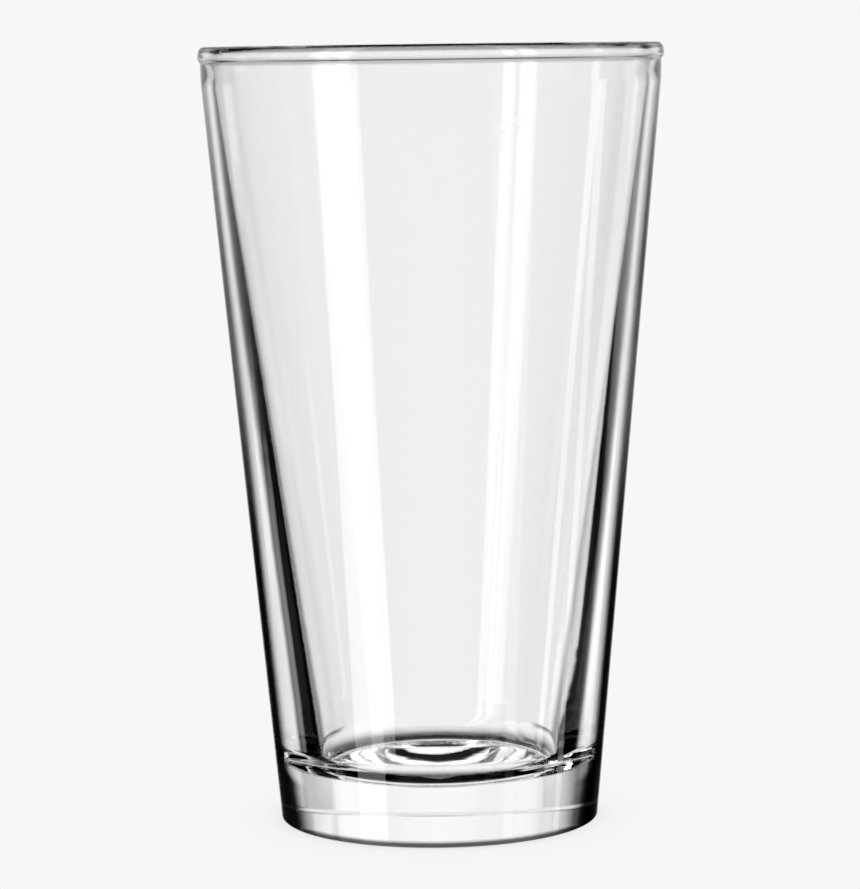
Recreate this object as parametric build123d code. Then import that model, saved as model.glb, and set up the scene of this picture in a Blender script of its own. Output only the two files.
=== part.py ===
from build123d import *
import math
import os

# Mixing glass: the tapered, heavy-based glass half of a two-piece shaker.
# It is one solid of revolution about Z. The origin is on the axis, at the level
# of the ring the glass stands on; +Z runs up towards the mouth. Lengths in mm.

# ---- driving dimensions -----------------------------------------------------
HEIGHT = 149.2            # standing ring to the top of the lip
MOUTH_OD = 88.9           # over the rim bead

# straight walls: radius carried down to Z = 0, and radius gained per unit of height
WALL_R0 = 30.68
WALL_SLOPE = 0.0924
WALL_TOP_Z = 141.5        # top of the straight outer wall
CAVITY_R0 = 21.5
CAVITY_SLOPE = 0.14       # steeper than the outer taper, so the wall thins upwards

# rim, from the neck up over the lip
NECK_R = 43.92            # neck under the bead
NECK_Z = 145.8
NECK_SLOPE = 0.02         # radius per unit of height at the neck, nearly upright
UNDER_R = 44.2            # point about halfway out along the bead's underside
UNDER_Z = 146.45
UNDER_ANGLE = 45.0        # outward lean of the underside there, degrees off vertical
BEAD_R = MOUTH_OD / 2     # widest part of the bead
BEAD_Z = 147.1
LIP_R = 43.2              # crest of the lip
LIP_INNER_Z = 147.5       # where the rounded lip meets the cavity wall

# foot
HEEL_R = 0.6              # small radius between the outer wall and the foot
FOOT_IN_R = 27.0          # inner edge of the flat standing ring
PUSH_UP = 0.3             # height of the very shallow hollow under the base

# cavity floor
FLOOR_Z = 8.9             # height at the middle
FLOOR_DISH = 1.75         # rise from the middle to the edge of the dish
FLOOR_EDGE_R = 19.05      # edge of the dish, where the fillet takes over
FLOOR_EDGE_Z = FLOOR_Z + FLOOR_DISH


# ---- profile helpers --------------------------------------------------------
def wall_r(z):
    """Outer wall radius at a height."""
    return WALL_R0 + WALL_SLOPE * z


def cavity_r(z):
    """Cavity wall radius at a height."""
    return CAVITY_R0 + CAVITY_SLOPE * z


def point(r, z):
    """A profile point: radius and height, in the XZ half-plane."""
    return Vector(r, 0, z)


def direction(dr, dz):
    """A unit direction in the profile plane."""
    return point(dr, dz).normalized()


def corner_points(centre_r, centre_z, radius, low_angle, top_angle):
    """Low end, middle and top end of an arc; angles in radians from +radius."""
    angles = (low_angle, (low_angle + top_angle) / 2, top_angle)
    return [
        point(centre_r + radius * math.cos(a), centre_z + radius * math.sin(a))
        for a in angles
    ]


def heel_points():
    """Arc tangent to the standing plane and to the outer wall."""
    wall_angle = math.atan(WALL_SLOPE)
    centre_r = wall_r(HEEL_R) - HEEL_R / math.cos(wall_angle)
    return corner_points(centre_r, HEEL_R, HEEL_R, -math.pi / 2, -wall_angle)


def floor_fillet_points():
    """Arc tangent to the dish at its edge and to the cavity wall."""
    wall_angle = math.atan(CAVITY_SLOPE)
    dish_angle = math.atan(2 * FLOOR_DISH / FLOOR_EDGE_R)
    # the one radius that meets both tangencies
    radius = (cavity_r(FLOOR_EDGE_Z) - FLOOR_EDGE_R) / (
        1 / math.cos(wall_angle)
        - CAVITY_SLOPE * math.cos(dish_angle)
        - math.sin(dish_angle)
    )
    centre_r = FLOOR_EDGE_R - radius * math.sin(dish_angle)
    centre_z = FLOOR_EDGE_Z + radius * math.cos(dish_angle)
    return corner_points(
        centre_r, centre_z, radius, dish_angle - math.pi / 2, -wall_angle
    )


def lip_middle(r, z):
    """Middle of the elliptical quarter from a side point up to the lip crest."""
    part = math.sqrt(0.5)
    return point(LIP_R + (r - LIP_R) * part, z + (HEIGHT - z) * part)


# ---- half profile, from the axis under the base round to the cavity floor ---
def foot_edges(heel):
    """Parabolic hollow, flat standing ring and heel."""
    hollow = [
        point(FOOT_IN_R * k, PUSH_UP * (1 - k**2)) for k in (0, 0.25, 0.5, 0.75, 1)
    ]
    return [
        Edge.make_spline(
            hollow, tangents=[direction(1, 0), direction(FOOT_IN_R, -2 * PUSH_UP)]
        ),
        Edge.make_line(hollow[-1], heel[0]),
        Edge.make_three_point_arc(*heel),
    ]


def outer_edges(heel_top):
    """Straight outer wall, neck and underside of the rim bead."""
    wall_top = point(wall_r(WALL_TOP_Z), WALL_TOP_Z)
    neck = point(NECK_R, NECK_Z)
    under = point(UNDER_R, UNDER_Z)
    bead = point(BEAD_R, BEAD_Z)
    neck_dir = direction(NECK_SLOPE, 1)
    lean = math.radians(UNDER_ANGLE)
    under_dir = direction(math.sin(lean), math.cos(lean))
    return [
        Edge.make_line(heel_top, wall_top),
        # the taper eases off to the nearly upright neck
        Edge.make_spline(
            [wall_top, neck], tangents=[direction(WALL_SLOPE, 1), neck_dir]
        ),
        # underside of the bead: hollow first, then full
        Edge.make_spline([neck, under], tangents=[neck_dir, under_dir]),
        Edge.make_spline([under, bead], tangents=[under_dir, direction(0, 1)]),
    ]


def lip_edges(lip_inner):
    """Rounded lip: outer side, then inner side."""
    bead = point(BEAD_R, BEAD_Z)
    crest = point(LIP_R, HEIGHT)
    inward = direction(-1, 0)
    return [
        Edge.make_spline(
            [bead, lip_middle(BEAD_R, BEAD_Z), crest],
            tangents=[direction(0, 1), inward],
        ),
        Edge.make_spline(
            [crest, lip_middle(cavity_r(LIP_INNER_Z), LIP_INNER_Z), lip_inner],
            tangents=[inward, direction(-CAVITY_SLOPE, -1)],
        ),
    ]


def cavity_edges(lip_inner):
    """Cavity wall, floor fillet and parabolic dished floor."""
    low, middle, top = floor_fillet_points()
    dish = [
        point(FLOOR_EDGE_R * k, FLOOR_Z + FLOOR_DISH * k**2)
        for k in (1, 0.75, 0.5, 0.25, 0)
    ]
    return [
        Edge.make_line(lip_inner, top),
        Edge.make_three_point_arc(top, middle, low),
        Edge.make_spline(
            dish,
            tangents=[direction(-FLOOR_EDGE_R, -2 * FLOOR_DISH), direction(-1, 0)],
        ),
    ]


def make_glass_body():
    """The whole glass, revolved from its half profile."""
    heel = heel_points()
    lip_inner = point(cavity_r(LIP_INNER_Z), LIP_INNER_Z)
    axis_edge = Edge.make_line(point(0, FLOOR_Z), point(0, PUSH_UP))
    profile = Face(Wire([
        *foot_edges(heel),
        *outer_edges(heel[-1]),
        *lip_edges(lip_inner),
        *cavity_edges(lip_inner),
        axis_edge,
    ]))
    body = revolve(profile, axis=Axis.Z, revolution_arc=360).solids()[0]
    body.label = "glass_body"
    return body


os.makedirs("parts", exist_ok=True)
export_step(make_glass_body(), "parts/glass_body.step")
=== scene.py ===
"""A clear, thick-walled mixing glass on a pale floor, in a lit studio.

The glass stands upright on the floor, its axis along +Z. The camera looks along +Y
from the -Y side, so +X is to its right. Lengths named in millimetres are scaled to
metres as the meshes are made.
"""
import bpy
import math
import numpy as np
from mathutils import Matrix, Vector


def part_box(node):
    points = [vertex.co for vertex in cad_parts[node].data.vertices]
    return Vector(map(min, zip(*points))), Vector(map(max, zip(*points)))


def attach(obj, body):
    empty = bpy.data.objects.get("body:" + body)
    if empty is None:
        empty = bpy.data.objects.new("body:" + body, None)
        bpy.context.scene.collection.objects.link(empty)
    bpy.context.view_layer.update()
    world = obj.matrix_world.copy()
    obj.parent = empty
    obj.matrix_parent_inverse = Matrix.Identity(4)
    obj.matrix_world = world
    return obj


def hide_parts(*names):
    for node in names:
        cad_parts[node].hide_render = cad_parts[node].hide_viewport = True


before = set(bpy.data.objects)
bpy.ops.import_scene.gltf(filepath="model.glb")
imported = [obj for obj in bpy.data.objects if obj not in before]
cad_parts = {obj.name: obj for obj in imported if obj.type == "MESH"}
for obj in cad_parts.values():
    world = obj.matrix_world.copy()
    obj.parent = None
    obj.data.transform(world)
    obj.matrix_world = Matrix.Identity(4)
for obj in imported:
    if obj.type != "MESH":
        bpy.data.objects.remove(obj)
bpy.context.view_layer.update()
body_low, body_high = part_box("glass_body")

MM = 0.001
TO_MM = 1000.0
DEGREES = 180 / math.pi

# Place of the glass, metres
CENTRE_X = (body_high.x + body_low.x) / 2
CENTRE_Y = (body_high.y + body_low.y) / 2
FOOT_Z = body_low.z

# Profile of the glass, millimetres; heights are above the standing ring
HEIGHT = (body_high.z - body_low.z) * TO_MM
MOUTH_R = (body_high.x - body_low.x) * TO_MM / 2   # over the rim bead
WALL_R0, WALL_SLOPE = 30.68, 0.0924                # outer wall: radius at z = 0, flare
CAVITY_R0, CAVITY_SLOPE = 21.5, 0.14               # inner wall, likewise
WALL_TOP_Z = HEIGHT - 7.7                          # the straight wall ends
NECK_R, NECK_Z = 43.92, HEIGHT - 3.4               # crease below the bead
UNDER_R, UNDER_Z = 44.2, HEIGHT - 2.75             # underside of the bead
UNDER_ANGLE = math.radians(45.0)
BEAD_Z = HEIGHT - 2.1                              # widest level of the bead
LIP_R, LIP_INNER_Z = 43.2, HEIGHT - 1.7            # crest, and where the lip meets the cavity
HEEL_R = 0.6
FOOT_IN_R, PUSH_UP = 27.0, 0.3                     # hollow under the base
FLOOR_Z, FLOOR_DISH, FLOOR_EDGE_R = 8.9, 1.75, 19.05
SEGMENTS = 384                                     # round the axis

# Ripples of the pressed surface, millimetres along the normal
# near the cavity floor: height, power of the radius, lobes, phase
FLOOR_WAVES = [
    (0.050, 1, 1, -0.5), (0.030, 2, 2, 1.3), (0.020, 3, 3, -0.8),
    (0.010, 4, 7, 0.6), (0.004, 4, 13, 2.1),
]
# along the walls: height, lobes, twist per mm of height, phase
INNER_WAVES = [(0.022, 2, 0.03, 0.0), (0.010, 5, -0.06, 1.0)]
OUTER_WAVES = [(0.014, 2, -0.02, 0.9), (0.006, 6, 0.05, 0.0)]

BACKDROP = 0.93      # level of the white seen behind and below the glass


# ----------------------------------------------------------------------------
# Half profile: each piece gives its points (radius, z) and unit tangents
# ----------------------------------------------------------------------------
def wall_r(z):
    return WALL_R0 + WALL_SLOPE * z


def cavity_r(z):
    return CAVITY_R0 + CAVITY_SLOPE * z


def unit(radial, axial):
    return np.array([radial, axial]) / math.hypot(radial, axial)


def unit_rows(rows):
    return rows / np.linalg.norm(rows, axis=1)[:, None]


def hermite(start, end, start_dir, end_dir, count):
    """A cubic between two points."""
    u = np.linspace(0, 1, count)[:, None]
    start, end = np.array(start, float), np.array(end, float)
    leave = start_dir * np.linalg.norm(end - start)
    arrive = end_dir * np.linalg.norm(end - start)
    points = ((2 * u**3 - 3 * u**2 + 1) * start + (u**3 - 2 * u**2 + u) * leave
              + (-2 * u**3 + 3 * u**2) * end + (u**3 - u**2) * arrive)
    tangents = ((6 * u**2 - 6 * u) * start + (3 * u**2 - 4 * u + 1) * leave
                + (-6 * u**2 + 6 * u) * end + (3 * u**2 - 2 * u) * arrive)
    return points, unit_rows(tangents)


def line(start, end, count):
    u = np.linspace(0, 1, count)[:, None]
    start, end = np.array(start, float), np.array(end, float)
    return start + u * (end - start), np.tile(unit(*(end - start)), (count, 1))


def arc(centre, radial, axial, angle0, angle1, count):
    """An elliptical arc with the two half axes given."""
    angle = np.linspace(angle0, angle1, count)
    points = np.stack([centre[0] + radial * np.cos(angle), centre[1] + axial * np.sin(angle)], 1)
    tangents = np.stack([-radial * np.sin(angle), axial * np.cos(angle)], 1)
    return points, unit_rows(tangents * (1 if angle1 > angle0 else -1))


def dish(edge_r, middle_z, rise, outward, count):
    """A parabola between the axis and edge_r, rising by rise at the edge."""
    u = np.linspace(0, 1, count) if outward else np.linspace(1, 0, count)
    points = np.stack([edge_r * u, middle_z + rise * u**2], 1)
    tangents = np.stack([np.ones_like(u), 2 * rise * u / edge_r], 1)
    return points, unit_rows(tangents * (1 if outward else -1))


def profile():
    """Points, tangents and surface names, from the axis under the base, up the
    outside, over the lip and down to the middle of the cavity floor."""
    # heel: a round tangent to the standing ring and to the wall
    lean = math.atan(WALL_SLOPE)
    heel = (wall_r(HEEL_R) - HEEL_R / math.cos(lean), HEEL_R)
    wall_z = heel[1] - HEEL_R * math.sin(lean)
    wall_top = (wall_r(WALL_TOP_Z), WALL_TOP_Z)
    neck, under = (NECK_R, NECK_Z), (UNDER_R, UNDER_Z)
    neck_dir = unit(0.02, 1)
    under_dir = np.array([math.sin(UNDER_ANGLE), math.cos(UNDER_ANGLE)])

    # fillet: tangent to the cavity wall and to the edge of the dished floor
    cavity_lean = math.atan(CAVITY_SLOPE)
    edge_z = FLOOR_Z + FLOOR_DISH
    tilt = math.atan(2 * FLOOR_DISH / FLOOR_EDGE_R)
    fillet_r = (cavity_r(edge_z) - FLOOR_EDGE_R) / (
        1 / math.cos(cavity_lean) - CAVITY_SLOPE * math.cos(tilt) - math.sin(tilt))
    fillet = (FLOOR_EDGE_R - fillet_r * math.sin(tilt), edge_z + fillet_r * math.cos(tilt))
    cavity_z = fillet[1] - fillet_r * math.sin(cavity_lean)
    lip_in_r = cavity_r(LIP_INNER_Z)
    quarter = math.pi / 2

    pieces = [
        ("plain", dish(FOOT_IN_R, PUSH_UP, -PUSH_UP, outward=True, count=24)),
        ("plain", line((FOOT_IN_R, 0), (heel[0], 0), count=7)),
        ("plain", arc(heel, HEEL_R, HEEL_R, -quarter, -lean, count=11)),
        ("outer", line((wall_r(wall_z), wall_z), wall_top, count=34)),
        ("outer", hermite(wall_top, neck, unit(WALL_SLOPE, 1), neck_dir, count=9)),
        ("plain", hermite(neck, under, neck_dir, under_dir, count=8)),
        ("plain", hermite(under, (MOUTH_R, BEAD_Z), under_dir, unit(0, 1), count=9)),
        ("plain", arc((LIP_R, BEAD_Z), MOUTH_R - LIP_R, HEIGHT - BEAD_Z, 0, quarter, count=15)),
        ("plain", arc((LIP_R, LIP_INNER_Z), LIP_R - lip_in_r, HEIGHT - LIP_INNER_Z,
                      quarter, math.pi, count=15)),
        ("inner", line((lip_in_r, LIP_INNER_Z), (cavity_r(cavity_z), cavity_z), count=36)),
        ("inner", arc(fillet, fillet_r, fillet_r, -cavity_lean, -quarter + tilt, count=28)),
        ("inner", dish(FLOOR_EDGE_R, FLOOR_Z, FLOOR_DISH, outward=False, count=28)),
    ]
    points, tangents, surfaces = [], [], []
    for surface, (piece, directions) in pieces:
        if points:
            # the join is shared: average the two tangents
            both = tangents[-1][-1] + directions[0]
            tangents[-1][-1] = both / np.linalg.norm(both)
            piece, directions = piece[1:], directions[1:]
        points.append(piece)
        tangents.append(directions)
        surfaces += [surface] * len(piece)
    return np.concatenate(points), np.concatenate(tangents), np.array(surfaces)


# ----------------------------------------------------------------------------
# Glass mesh
# ----------------------------------------------------------------------------
def smooth(x):
    x = np.clip(x, 0, 1)
    return x * x * (3 - 2 * x)


def ripple(points, surfaces, angles):
    """Departure from a true solid of revolution, one row per profile point."""
    radius, z = points[:, 0][:, None], points[:, 1][:, None]
    around = angles[None, :]
    inner = (surfaces == "inner")[:, None]
    outer = (surfaces == "outer")[:, None]
    # fade to nothing at the lip, at the heel and above the cavity floor
    below_lip = smooth((HEIGHT - 3 - z) / 20)
    above_heel = smooth(z / 6)
    near_floor = smooth((24 - z) / 10)
    reach = np.clip(radius / 22.0, 0, 1.2)
    floor = sum(height * reach**power * np.cos(lobes * around + phase)
                for height, power, lobes, phase in FLOOR_WAVES)

    def walls(waves):
        return sum(height * np.cos(lobes * around + twist * z + phase)
                   for height, lobes, twist, phase in waves)

    return (near_floor * inner * floor + below_lip * inner * walls(INNER_WAVES)
            + below_lip * above_heel * outer * walls(OUTER_WAVES))


def lathe(name):
    """A closed mesh of revolution with analytic normals."""
    points, tangents, surfaces = profile()
    step = 2 * math.pi / SEGMENTS
    angles = np.arange(SEGMENTS) * step
    offset = ripple(points, surfaces, angles)
    lengths = np.linalg.norm(np.diff(points, axis=0), axis=1)
    along = np.concatenate([[0], np.cumsum(lengths)])
    slope_along = np.gradient(offset, along, axis=0)
    slope_around = (np.roll(offset, -1, 1) - np.roll(offset, 1, 1)) / (2 * step)
    tangent_r, tangent_z = tangents[:, 0][:, None], tangents[:, 1][:, None]
    # the outward normal is the tangent turned by a quarter
    radius = points[:, 0][:, None] + offset * tangent_z
    z = points[:, 1][:, None] - offset * tangent_r
    normal_r = tangent_z - slope_along * tangent_r
    normal_z = -tangent_r - slope_along * tangent_z
    normal_around = -slope_around / np.maximum(points[:, 0], 1e-6)[:, None]
    cos, sin = np.cos(angles)[None, :], np.sin(angles)[None, :]
    # the two ends lie on the axis and become single vertices
    rings = np.stack([radius * cos, radius * sin, z], 2)[1:-1]
    ring_normals = np.stack([normal_r * cos - normal_around * sin,
                             normal_r * sin + normal_around * cos, normal_z], 2)[1:-1]
    verts = np.vstack([rings.reshape(-1, 3), [[0, 0, z[0].mean()], [0, 0, z[-1].mean()]]])
    verts = verts * MM + np.array([CENTRE_X, CENTRE_Y, FOOT_Z])
    normals = unit_rows(np.vstack([ring_normals.reshape(-1, 3), [[0, 0, -1], [0, 0, 1]]]))

    last = (len(rings) - 1) * SEGMENTS
    bottom = last + SEGMENTS
    top = bottom + 1
    pairs = [(j, (j + 1) % SEGMENTS) for j in range(SEGMENTS)]
    faces = []
    for low in range(0, last, SEGMENTS):
        high = low + SEGMENTS
        faces += [(low + j, low + k, high + k, high + j) for j, k in pairs]
    for j, k in pairs:
        faces += [(bottom, k, j), (top, last + j, last + k)]

    mesh = bpy.data.meshes.new(name)
    mesh.from_pydata(verts.tolist(), [], faces)
    mesh.update()
    mesh.polygons.foreach_set("use_smooth", [True] * len(mesh.polygons))
    mesh.normals_split_custom_set_from_vertices(normals.tolist())
    mesh.update()
    lathed = bpy.data.objects.new(name, mesh)
    bpy.context.scene.collection.objects.link(lathed)
    return lathed


# ----------------------------------------------------------------------------
# Shader maths
# ----------------------------------------------------------------------------
def feed(tree, node, inputs):
    """Link or set the node's inputs, given by name or number."""
    for key, source in inputs.items():
        if isinstance(source, Value):
            tree.links.new(source.socket, node.inputs[key])
        else:
            node.inputs[key].default_value = source


def add_node(tree, kind, inputs=None, **settings):
    node = tree.nodes.new(kind)
    for key, setting in settings.items():
        setattr(node, key, setting)
    feed(tree, node, inputs or {})
    return node


def value(tree, kind, output=0, inputs=None, **settings):
    """One output of a new node."""
    return Value(tree, add_node(tree, kind, inputs, **settings).outputs[output])


class Value:
    """An output socket; arithmetic on it adds Math nodes."""

    def __init__(self, tree, socket):
        self.tree = tree
        self.socket = socket

    def math(self, operation, *others):
        terms = dict(enumerate((self, *others)))
        return value(self.tree, "ShaderNodeMath", inputs=terms, operation=operation)

    def __add__(self, other):
        return self.math("ADD", other)

    def __sub__(self, other):
        return self.math("SUBTRACT", other)

    def __rsub__(self, number):
        terms = {0: number, 1: self}
        return value(self.tree, "ShaderNodeMath", inputs=terms, operation="SUBTRACT")

    def __mul__(self, other):
        return self.math("MULTIPLY", other)

    def __pow__(self, power):
        return self.math("POWER", power)

    def __abs__(self):
        return self.math("ABSOLUTE")

    def at_least(self, other):
        return self.math("MAXIMUM", other)

    def at_most(self, other):
        return self.math("MINIMUM", other)

    def arcsine(self):
        """In degrees."""
        return self.at_least(-1.0).at_most(1.0).math("ARCSINE") * DEGREES

    def split(self):
        """The x, y and z of a vector."""
        node = add_node(self.tree, "ShaderNodeSeparateXYZ", {0: self})
        return [Value(self.tree, socket) for socket in node.outputs]

    def dot(self, other):
        return value(self.tree, "ShaderNodeVectorMath", "Value", {0: self, 1: other},
                     operation="DOT_PRODUCT")

    def ramp(self, start, end, low=0.0, high=1.0, kind="SMOOTHSTEP"):
        """low at start, going to high at end."""
        return value(self.tree, "ShaderNodeMapRange", inputs={
            "Value": self, "From Min": start, "From Max": end, "To Min": low, "To Max": high,
        }, interpolation_type=kind)

    def fall(self, start, end):
        """1 at start, falling to 0 at end."""
        return self.ramp(start, end, low=1.0, high=0.0)

    def band(self, start, end, soft):
        """1 between start and end, with edges that reach soft to each side."""
        return self.ramp(start - soft, start + soft) * self.fall(end - soft, end + soft)

    def curve(self, stations):
        """Piecewise linear through the (x, y) stations."""
        start, end = stations[0][0], stations[-1][0]
        top = max(y for _, y in stations)
        node = add_node(self.tree, "ShaderNodeFloatCurve",
                        {"Value": self.ramp(start, end, kind="LINEAR")})
        curve = node.mapping.curves[0]
        places = [((x - start) / (end - start), y / top) for x, y in stations]
        curve.points[0].location, curve.points[1].location = places[0], places[-1]
        add_corners(curve, places[1:-1])
        node.mapping.update()
        return Value(self.tree, node.outputs[0]) * top


def add_corners(curve, places):
    """Add points to a curve and make all its points sharp."""
    for x, y in places:
        curve.points.new(x, y)
    for point in curve.points:
        point.handle_type = "VECTOR"


def radius_mm(x, y):
    return (x ** 2.0 + y ** 2.0).math("SQRT") * TO_MM


# ----------------------------------------------------------------------------
# Glass material
# ----------------------------------------------------------------------------
# Painted dark outline, a shade painted on for camera rays, against height in mm: how far it
# reaches in from the edge (cosine of the viewing angle), how dark it is, and how soft its inner
# border is
PAINTED_OUTLINE_WIDTH = [
    (0, 0.50), (4, 0.485), (8, 0.46), (9.5, 0.46), (11.5, 0.35), (20, 0.335),
    (75, 0.285), (110, 0.245), (150, 0.215),
]
PAINTED_OUTLINE_DEPTH = [
    (0, 0.94), (9, 0.95), (13, 0.98), (48, 0.98), (60, 0.93), (68, 0.87), (88, 0.79),
    (108, 0.80), (127, 0.62), (144, 0.42), (146, 0.38), (150, 0.38),
]
PAINTED_OUTLINE_SOFT = [(0, 0.10), (60, 0.085), (150, 0.06)]
# Darkness of the painted shade lines along the crest of the lip, the crease below it and the
# heel
CREST_PAINTED_SHADE, CREASE_PAINTED_SHADE, HEEL_PAINTED_SHADE = 0.56, 0.42, 0.84
RING_OUT_R = 30.2    # outer edge of the scuffed ring, mm
# glow painted on the heel, seen through the base
HEEL_PAINTED_GLOW = 0.85


def scuffs(tree, position, radius, height):
    """Roughness: the standing ring is lightly scuffed by use, in fine patches."""
    noise = value(tree, "ShaderNodeTexNoise",
                  inputs={"Vector": position, "Scale": 900.0, "Detail": 4.0})
    on_ring = radius.band(FOOT_IN_R + 0.3, RING_OUT_R, soft=0.25) * height.fall(0.05, 0.2)
    return on_ring * noise.ramp(0.42, 0.62, low=0.05, high=0.30)


def unevenness(tree, position):
    """Normal of pressed, fire-polished glass, its faint waves drawn out round the wall."""
    stretched = value(tree, "ShaderNodeMapping",
                      inputs={"Vector": position, "Scale": (0.55, 0.55, 1.6)})
    waves = value(tree, "ShaderNodeTexNoise",
                  inputs={"Vector": stretched, "Scale": 95.0, "Detail": 1.5})
    return value(tree, "ShaderNodeBump",
                 inputs={"Strength": 0.35, "Distance": 0.00004, "Height": waves})


def painted_shade(tree, height):
    """Painted shade: black mixed in, for camera rays, where a thick wall turns away from the
    eye, and painted dark lines at the crest, the crease and the heel.
    """
    geometry = add_node(tree, "ShaderNodeNewGeometry")
    incoming = Value(tree, geometry.outputs["Incoming"])
    normal = Value(tree, geometry.outputs["Normal"])
    facing = abs(incoming.dot(normal))
    width = height.curve(PAINTED_OUTLINE_WIDTH)
    depth = height.curve(PAINTED_OUTLINE_DEPTH)
    soft = height.curve(PAINTED_OUTLINE_SOFT)
    edge = facing.fall(width - soft, width + soft)
    # painted light: the painted outline is eased a little at the very edge
    painted_rim_light = facing.ramp(0.02, 0.17, low=0.62, high=1.0)
    # the painted lines at the lip weaken when seen from above or below
    level = abs(incoming.split()[2]).ramp(0.14, 0.34, low=1.0, high=0.3)
    # painted shade lines, dark at the crest of the lip, in the crease under the bead and on the
    # underside of the heel
    painted_crest_line = (height.ramp(HEIGHT - 1.5, HEIGHT - 0.9)
             * height.ramp(HEIGHT - 0.2, HEIGHT - 0.02, low=1.0, high=0.15)
             * level * CREST_PAINTED_SHADE)
    painted_crease_line = height.band(HEIGHT - 3.45, HEIGHT - 2.35, soft=0.35) * level * CREASE_PAINTED_SHADE
    heel = height.fall(0.7, 1.6) * normal.split()[2].ramp(-0.9, -0.6) * HEEL_PAINTED_SHADE
    return (edge * depth * painted_rim_light).at_least(painted_crest_line.at_least(painted_crease_line).at_least(heel))


def mix_shaders(tree, factor, first, second):
    return value(tree, "ShaderNodeMixShader", inputs={0: factor, 1: first, 2: second})


def glass_material():
    material = bpy.data.materials.new("clear_glass")
    material.use_nodes = True
    tree = material.node_tree
    principled = tree.nodes["Principled BSDF"]
    position = value(tree, "ShaderNodeTexCoord", "Object")
    x, y, z = position.split()
    height = z * TO_MM
    radius = radius_mm(x, y)
    feed(tree, principled, {
        "Base Color": (1.0, 1.0, 1.0, 1),
        "Metallic": 0,
        "IOR": 1.52,
        "Transmission Weight": 1.0,
        "Roughness": scuffs(tree, position, radius, height),
        "Normal": unevenness(tree, position),
    })
    camera_ray = value(tree, "ShaderNodeLightPath", "Is Camera Ray")
    # painted shade: for camera rays the glass is mixed towards a black diffuse shader
    painted_black = value(tree, "ShaderNodeBsdfDiffuse", inputs={"Color": (0.0, 0.0, 0.0, 1)})
    painted_shade_mixed = mix_shaders(tree, painted_shade(tree, height) * camera_ray,
                           Value(tree, principled.outputs[0]), painted_black)
    # painted light: the heel glows with an emission, for all but camera rays, so it shows pale
    # through the base
    painted_heel_glow = value(tree, "ShaderNodeEmission", inputs={"Strength": HEEL_PAINTED_GLOW})
    painted_glow_mask = height.fall(0.22, 0.42) * radius.ramp(30.0, 30.15) * (1.0 - camera_ray)
    surface = mix_shaders(tree, painted_glow_mask, painted_shade_mixed, painted_heel_glow)
    feed(tree, tree.nodes["Material Output"], {"Surface": surface})
    return material


glass = lathe("mixing_glass")
glass.data.materials.append(glass_material())
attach(glass, "root")
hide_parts("glass_body")

# ----------------------------------------------------------------------------
# Camera
# ----------------------------------------------------------------------------
CAMERA_AT = (0.0, -0.681, 0.1479)
PITCH, YAW, ROLL = math.radians(6.33), math.radians(-0.078), math.radians(0.708)
AIM_OFFSET = 1.408054e-4    # radians the view is turned to the left and up
LENS, SENSOR = 143.797525, 36.0    # mm


def camera_axes():
    """Right, up and ahead of the camera; a positive pitch looks down."""
    ahead = Vector((math.sin(YAW) * math.cos(PITCH), math.cos(YAW) * math.cos(PITCH),
                    -math.sin(PITCH)))
    level = Vector((math.cos(YAW), -math.sin(YAW), 0))
    upright = level.cross(ahead)
    right = math.cos(ROLL) * level - math.sin(ROLL) * upright
    up = math.sin(ROLL) * level + math.cos(ROLL) * upright
    ahead = (ahead - right * AIM_OFFSET + up * AIM_OFFSET).normalized()
    right = (right - ahead * right.dot(ahead)).normalized()
    return right, right.cross(ahead), ahead


def add_camera(right, up, ahead):
    lens = bpy.data.cameras.new("camera")
    lens.sensor_fit = "AUTO"
    lens.sensor_width = SENSOR
    lens.lens = LENS
    lens.clip_start, lens.clip_end = 0.01, 50
    camera = bpy.data.objects.new("camera", lens)
    rows = [(right[i], up[i], -ahead[i], CAMERA_AT[i]) for i in range(3)]
    camera.matrix_world = Matrix((*rows, (0, 0, 0, 1)))
    bpy.context.scene.collection.objects.link(camera)
    bpy.context.scene.camera = camera


view_axes = camera_axes()
add_camera(*view_axes)

# ----------------------------------------------------------------------------
# Studio: a lit panel behind the glass and soft cards round it. The lights keep
# their places round the camera, as on a turntable set. Angles are in degrees:
# azimuth is 0 behind the glass and negative to the left.
# ----------------------------------------------------------------------------
# Level of the panel and of its wings, against azimuth
PANEL_LEFT = [
    (-60, 0.0), (-41, 0.0), (-38, 0.02), (-36, 0.04), (-34, 0.10), (-32.5, 0.22),
    (-31, 0.36), (-29.5, 0.62), (-28, 0.88), (-25, 1.0), (-21, 1.02), (-17, 0.98),
    (-12, 0.95), (-6, 1.0), (0, 1.02),
]
PANEL_RIGHT = [
    (0, 1.02), (6, 1.0), (12, 0.97), (17, 0.99), (21, 1.06), (26, 1.08), (28.5, 1.0),
    (30, 0.78), (31.5, 0.54), (33, 0.28), (35, 0.11), (37, 0.03), (39, 0.0), (60, 0.0),
]
WING_LEFT = [
    (-80, 0.0), (-62, 0.04), (-52, 0.20), (-47, 0.25), (-44, 0.36), (-41, 0.50),
    (-38, 0.66), (-35, 0.76), (-31, 0.85), (0, 0.6),
]
WING_RIGHT = [
    (0, 0.6), (30, 0.84), (34, 0.72), (38, 0.62), (42, 0.60), (50, 0.50), (58, 0.48),
    (66, 0.40), (84, 0.12), (100, 0.0),
]
# Level against elevation: over the full width, and down the tongue of lit table
PANEL_TOP = [(38, 1.0), (48, 0.05), (60, 0.0), (90, 0.0)]
FULL_WIDTH = [
    (-90, 0.0), (-60, 0.02), (-26, 0.05), (-21, 0.14), (-18, 0.95), (-16.5, 1.0), *PANEL_TOP,
]
TONGUE = [
    (-90, 0.0), (-62, 0.03), (-52, 0.06), (-44, 0.20), (-36, 0.73), (-30, 1.0), *PANEL_TOP,
]
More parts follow.
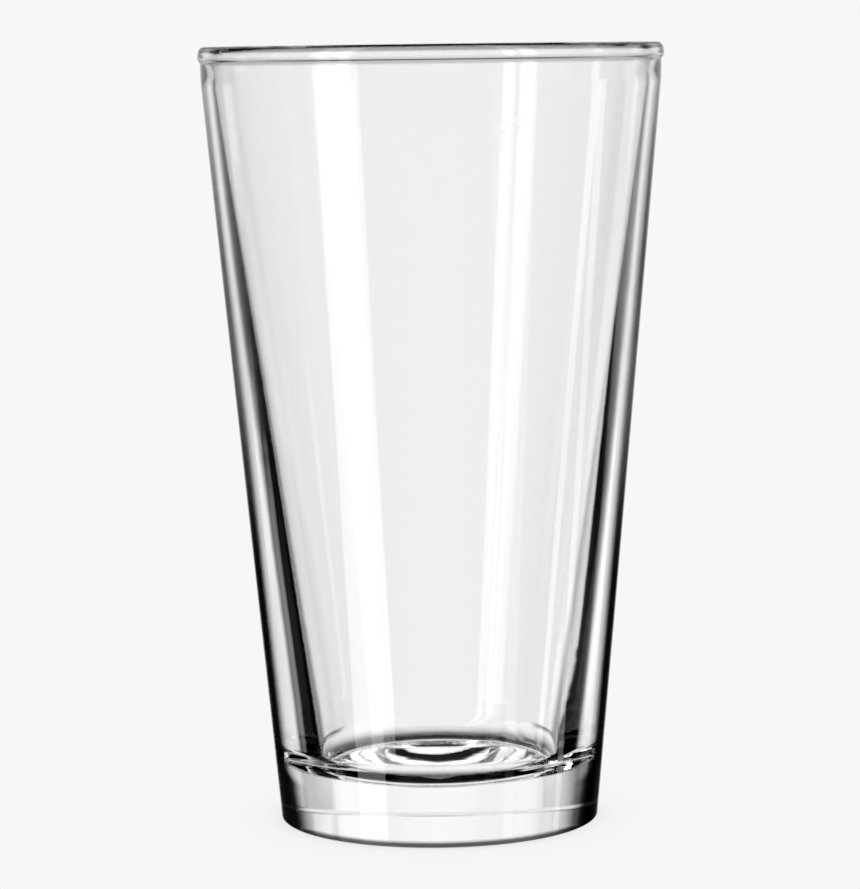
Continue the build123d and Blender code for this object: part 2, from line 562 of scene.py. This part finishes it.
# Cards: azimuth from, to, soft edge, elevation from, to, soft edge, level
LEANING_CARD = (46, 58.5, 1.8, -40, -4, 3, 0.75)
CARDS = [
    (126, 133, 0.7, -45, 60, 3, 0.9),
    (141, 148, 0.7, -34, -9, 2, 0.35),
    (108, 126, 1.5, -6, 40, 3, 0.45),
    (82.5, 88, 0.7, -28, -5, 1.5, 2.0),
    (89, 96, 1.0, -28, 30, 3, 0.25),
    (-75, -66, 1.5, -2, 6, 1.5, 0.6),
    (-44.5, -38.5, 1.2, -20.5, -16.0, 0.8, 0.17),
    (31.5, 41, 1.5, 8, 20, 2, 0.26),
    (-56, -46, 1.2, -12.8, -9.5, 0.8, 0.7),
]
# Strips at one height: azimuth from, to, soft edge, level
HIGH_LIGHTS = [(40, 68, 2.0, 1.5), (-68, -40, 2.0, 1.2)]
SOFTBOX_UPPER = [
    (-138.8, -132.8, 0.8, 3.0), (-128.5, -120, 0.8, 2.6), (-132.8, -128.5, 0.8, 0.25),
]
SOFTBOX_LOWER = [(-141.5, -120, 0.8, 2.8)]
ROOM_LEVEL = 0.18


def strips(azimuth, table):
    total = None
    for start, end, soft, level in table:
        strip = azimuth.band(start, end, soft) * level
        total = total + strip if total else strip
    return total


def card(azimuth, elevation, sizes):
    left, right, side_soft, low, high, end_soft, level = sizes
    return azimuth.band(left, right, side_soft) * elevation.band(low, high, end_soft) * level


def back_panel(azimuth, elevation):
    """Full in the middle, brightest near its sides, with a lit tongue of table under it."""
    off_middle = abs(azimuth)
    on_right = azimuth.ramp(-1, 1)
    on_left = 1.0 - on_right
    # low down, the left side is drawn inwards or out by the lean
    lean = (-12.0 - elevation).at_least(0.0).at_most(8.0) * 0.6
    core = (azimuth.curve(PANEL_RIGHT) * on_right
            + (azimuth + lean).curve(PANEL_LEFT) * on_left)
    wings = (azimuth.curve(WING_RIGHT) * on_right
             + azimuth.curve(WING_LEFT) * on_left) * elevation.ramp(-8, -4.5)
    # the tongue widens towards its foot, with fainter shoulders outside it
    spread = elevation.ramp(-28, -24, low=14.0, high=0.0)
    shoulders = off_middle.fall(25, 32) * elevation.fall(-23, -21) * 0.62
    near_middle = (off_middle - spread).fall(13, 20).at_least(shoulders)
    rise = elevation.curve(FULL_WIDTH).at_least(elevation.curve(TONGUE) * near_middle)
    # a dark gap high in the middle, and a slight dimming low on the left
    gap = 1.0 - elevation.band(17.5, 25, soft=2.0) * off_middle.fall(5, 13) * 0.8
    dimming = 1.0 - azimuth.band(-28, -16, soft=2.0) * elevation.fall(-13.5, -11.5) * 0.10
    return core.at_least(wings) * rise * gap * dimming


def left_softbox(azimuth, elevation):
    """Two columns above with a faint filling, one column below."""
    above = elevation.ramp(-10, -6)
    columns = (strips(azimuth, SOFTBOX_UPPER) * above
               + strips(azimuth, SOFTBOX_LOWER) * (1.0 - above))
    return columns * elevation.band(-40, 60, soft=3)


def overhead(x, y, z, azimuth, elevation):
    """A strip straight overhead and a small light high up on each side of it."""
    over = z.math("ARCTAN2", y) * DEGREES
    strip = over.band(85, 101, soft=1.5) * abs(x.arcsine()).fall(22, 28) * 2.0
    return strip + strips(azimuth, HIGH_LIGHTS) * elevation.band(48, 67, soft=2.0)


def studio_world():
    world = bpy.data.worlds.new("studio")
    bpy.context.scene.world = world
    world.use_nodes = True
    tree = world.node_tree
    tree.nodes.clear()
    # the camera's own x, y and depth, turned into world directions
    view = value(tree, "ShaderNodeTexCoord", "Camera")
    x, y, z = [view.dot(tuple(axis[i] for axis in view_axes)) for i in range(3)]
    azimuth = x.math("ARCTAN2", y) * DEGREES
    elevation = z.arcsine()

    total = (back_panel(azimuth, elevation) + left_softbox(azimuth, elevation)
             + overhead(x, y, z, azimuth, elevation))
    # one card leans below -10 degrees, and jogs sideways below -20
    leaning = (azimuth + (elevation + 10.0).at_most(0.0) * 0.45
               + (elevation + 20.0).at_most(0.0).at_least(-3.0) * 4.0)
    total = total + card(leaning, elevation, LEANING_CARD)
    for sizes in CARDS:
        total = total + card(azimuth, elevation, sizes)
    # the dim side of the room behind the camera, seen low down
    total = total + abs(azimuth).ramp(148, 156) * elevation.ramp(-12, -26) * ROOM_LEVEL

    # the camera itself sees only the even backdrop
    camera_ray = value(tree, "ShaderNodeLightPath", "Is Camera Ray")
    strength = value(tree, "ShaderNodeMix", inputs={0: camera_ray, 2: total, 3: BACKDROP},
                     data_type="FLOAT")
    background = value(tree, "ShaderNodeBackground",
                       inputs={"Strength": strength, "Color": (1, 1, 1, 1)})
    add_node(tree, "ShaderNodeOutputWorld", {0: background})


# ----------------------------------------------------------------------------
# Pale floor, running out to the white of the backdrop
# ----------------------------------------------------------------------------
FLOOR_R, FLOOR_DROP, FLOOR_SIDES = 3, 0.00002, 96    # metres, metres below the foot, count
# Painted shadow round the foot, darkening the glowing floor: radius in mm, level
FOOT_PAINTED_SHADOW = [
    (0, 0.80), (30, 0.82), (31.2, 0.91), (34, 0.972), (42, 0.994), (54, 1.0), (80, 1.0),
]


def floor_material():
    material = bpy.data.materials.new("pale_floor")
    material.use_nodes = True
    tree = material.node_tree
    tree.nodes.clear()
    x, y, _ = value(tree, "ShaderNodeNewGeometry", "Position").split()
    # painted shadow: the floor's glow is darkened near the foot
    painted_foot_shadow = radius_mm(x, y).curve(FOOT_PAINTED_SHADOW)
    glow = value(tree, "ShaderNodeEmission", inputs={"Strength": painted_foot_shadow * BACKDROP})
    add_node(tree, "ShaderNodeOutputMaterial", {"Surface": glow})
    return material


def add_floor():
    """A disc that only the camera sees."""
    material = floor_material()
    mesh = bpy.data.meshes.new("floor")
    angles = [2 * math.pi * i / FLOOR_SIDES for i in range(FLOOR_SIDES)]
    mesh.from_pydata(
        [(CENTRE_X + FLOOR_R * math.cos(angle), CENTRE_Y + FLOOR_R * math.sin(angle),
          FOOT_Z - FLOOR_DROP) for angle in angles],
        [], [tuple(range(FLOOR_SIDES))],
    )
    mesh.materials.append(material)
    floor = bpy.data.objects.new("floor", mesh)
    bpy.context.scene.collection.objects.link(floor)
    for ray in ("diffuse", "glossy", "transmission", "volume_scatter", "shadow"):
        setattr(floor, "visible_" + ray, False)


# ----------------------------------------------------------------------------
# Render settings
# ----------------------------------------------------------------------------
# A slight toe: the deepest greys go to black, the rest is kept (level in, out)
TOE = [(0.02, 0.004), (0.05, 0.014), (0.10, 0.055), (0.20, 0.165), (0.35, 0.34), (0.50, 0.50)]
BOUNCES = 40


def render_settings(scene):
    view = scene.view_settings
    view.view_transform = "Standard"
    view.look = "None"
    view.use_curve_mapping = True
    combined = view.curve_mapping.curves[3]
    combined.points[0].location, combined.points[-1].location = (0.0, 0.0), (1.0, 1.0)
    add_corners(combined, TOE)
    view.curve_mapping.update()
    cycles = scene.cycles
    cycles.max_bounces = BOUNCES
    cycles.transmission_bounces = BOUNCES
    cycles.glossy_bounces = BOUNCES
    cycles.use_denoising = True
    cycles.pixel_filter_type = "BLACKMAN_HARRIS"
    cycles.filter_width = 1.8


studio_world()
add_floor()
render_settings(bpy.context.scene)
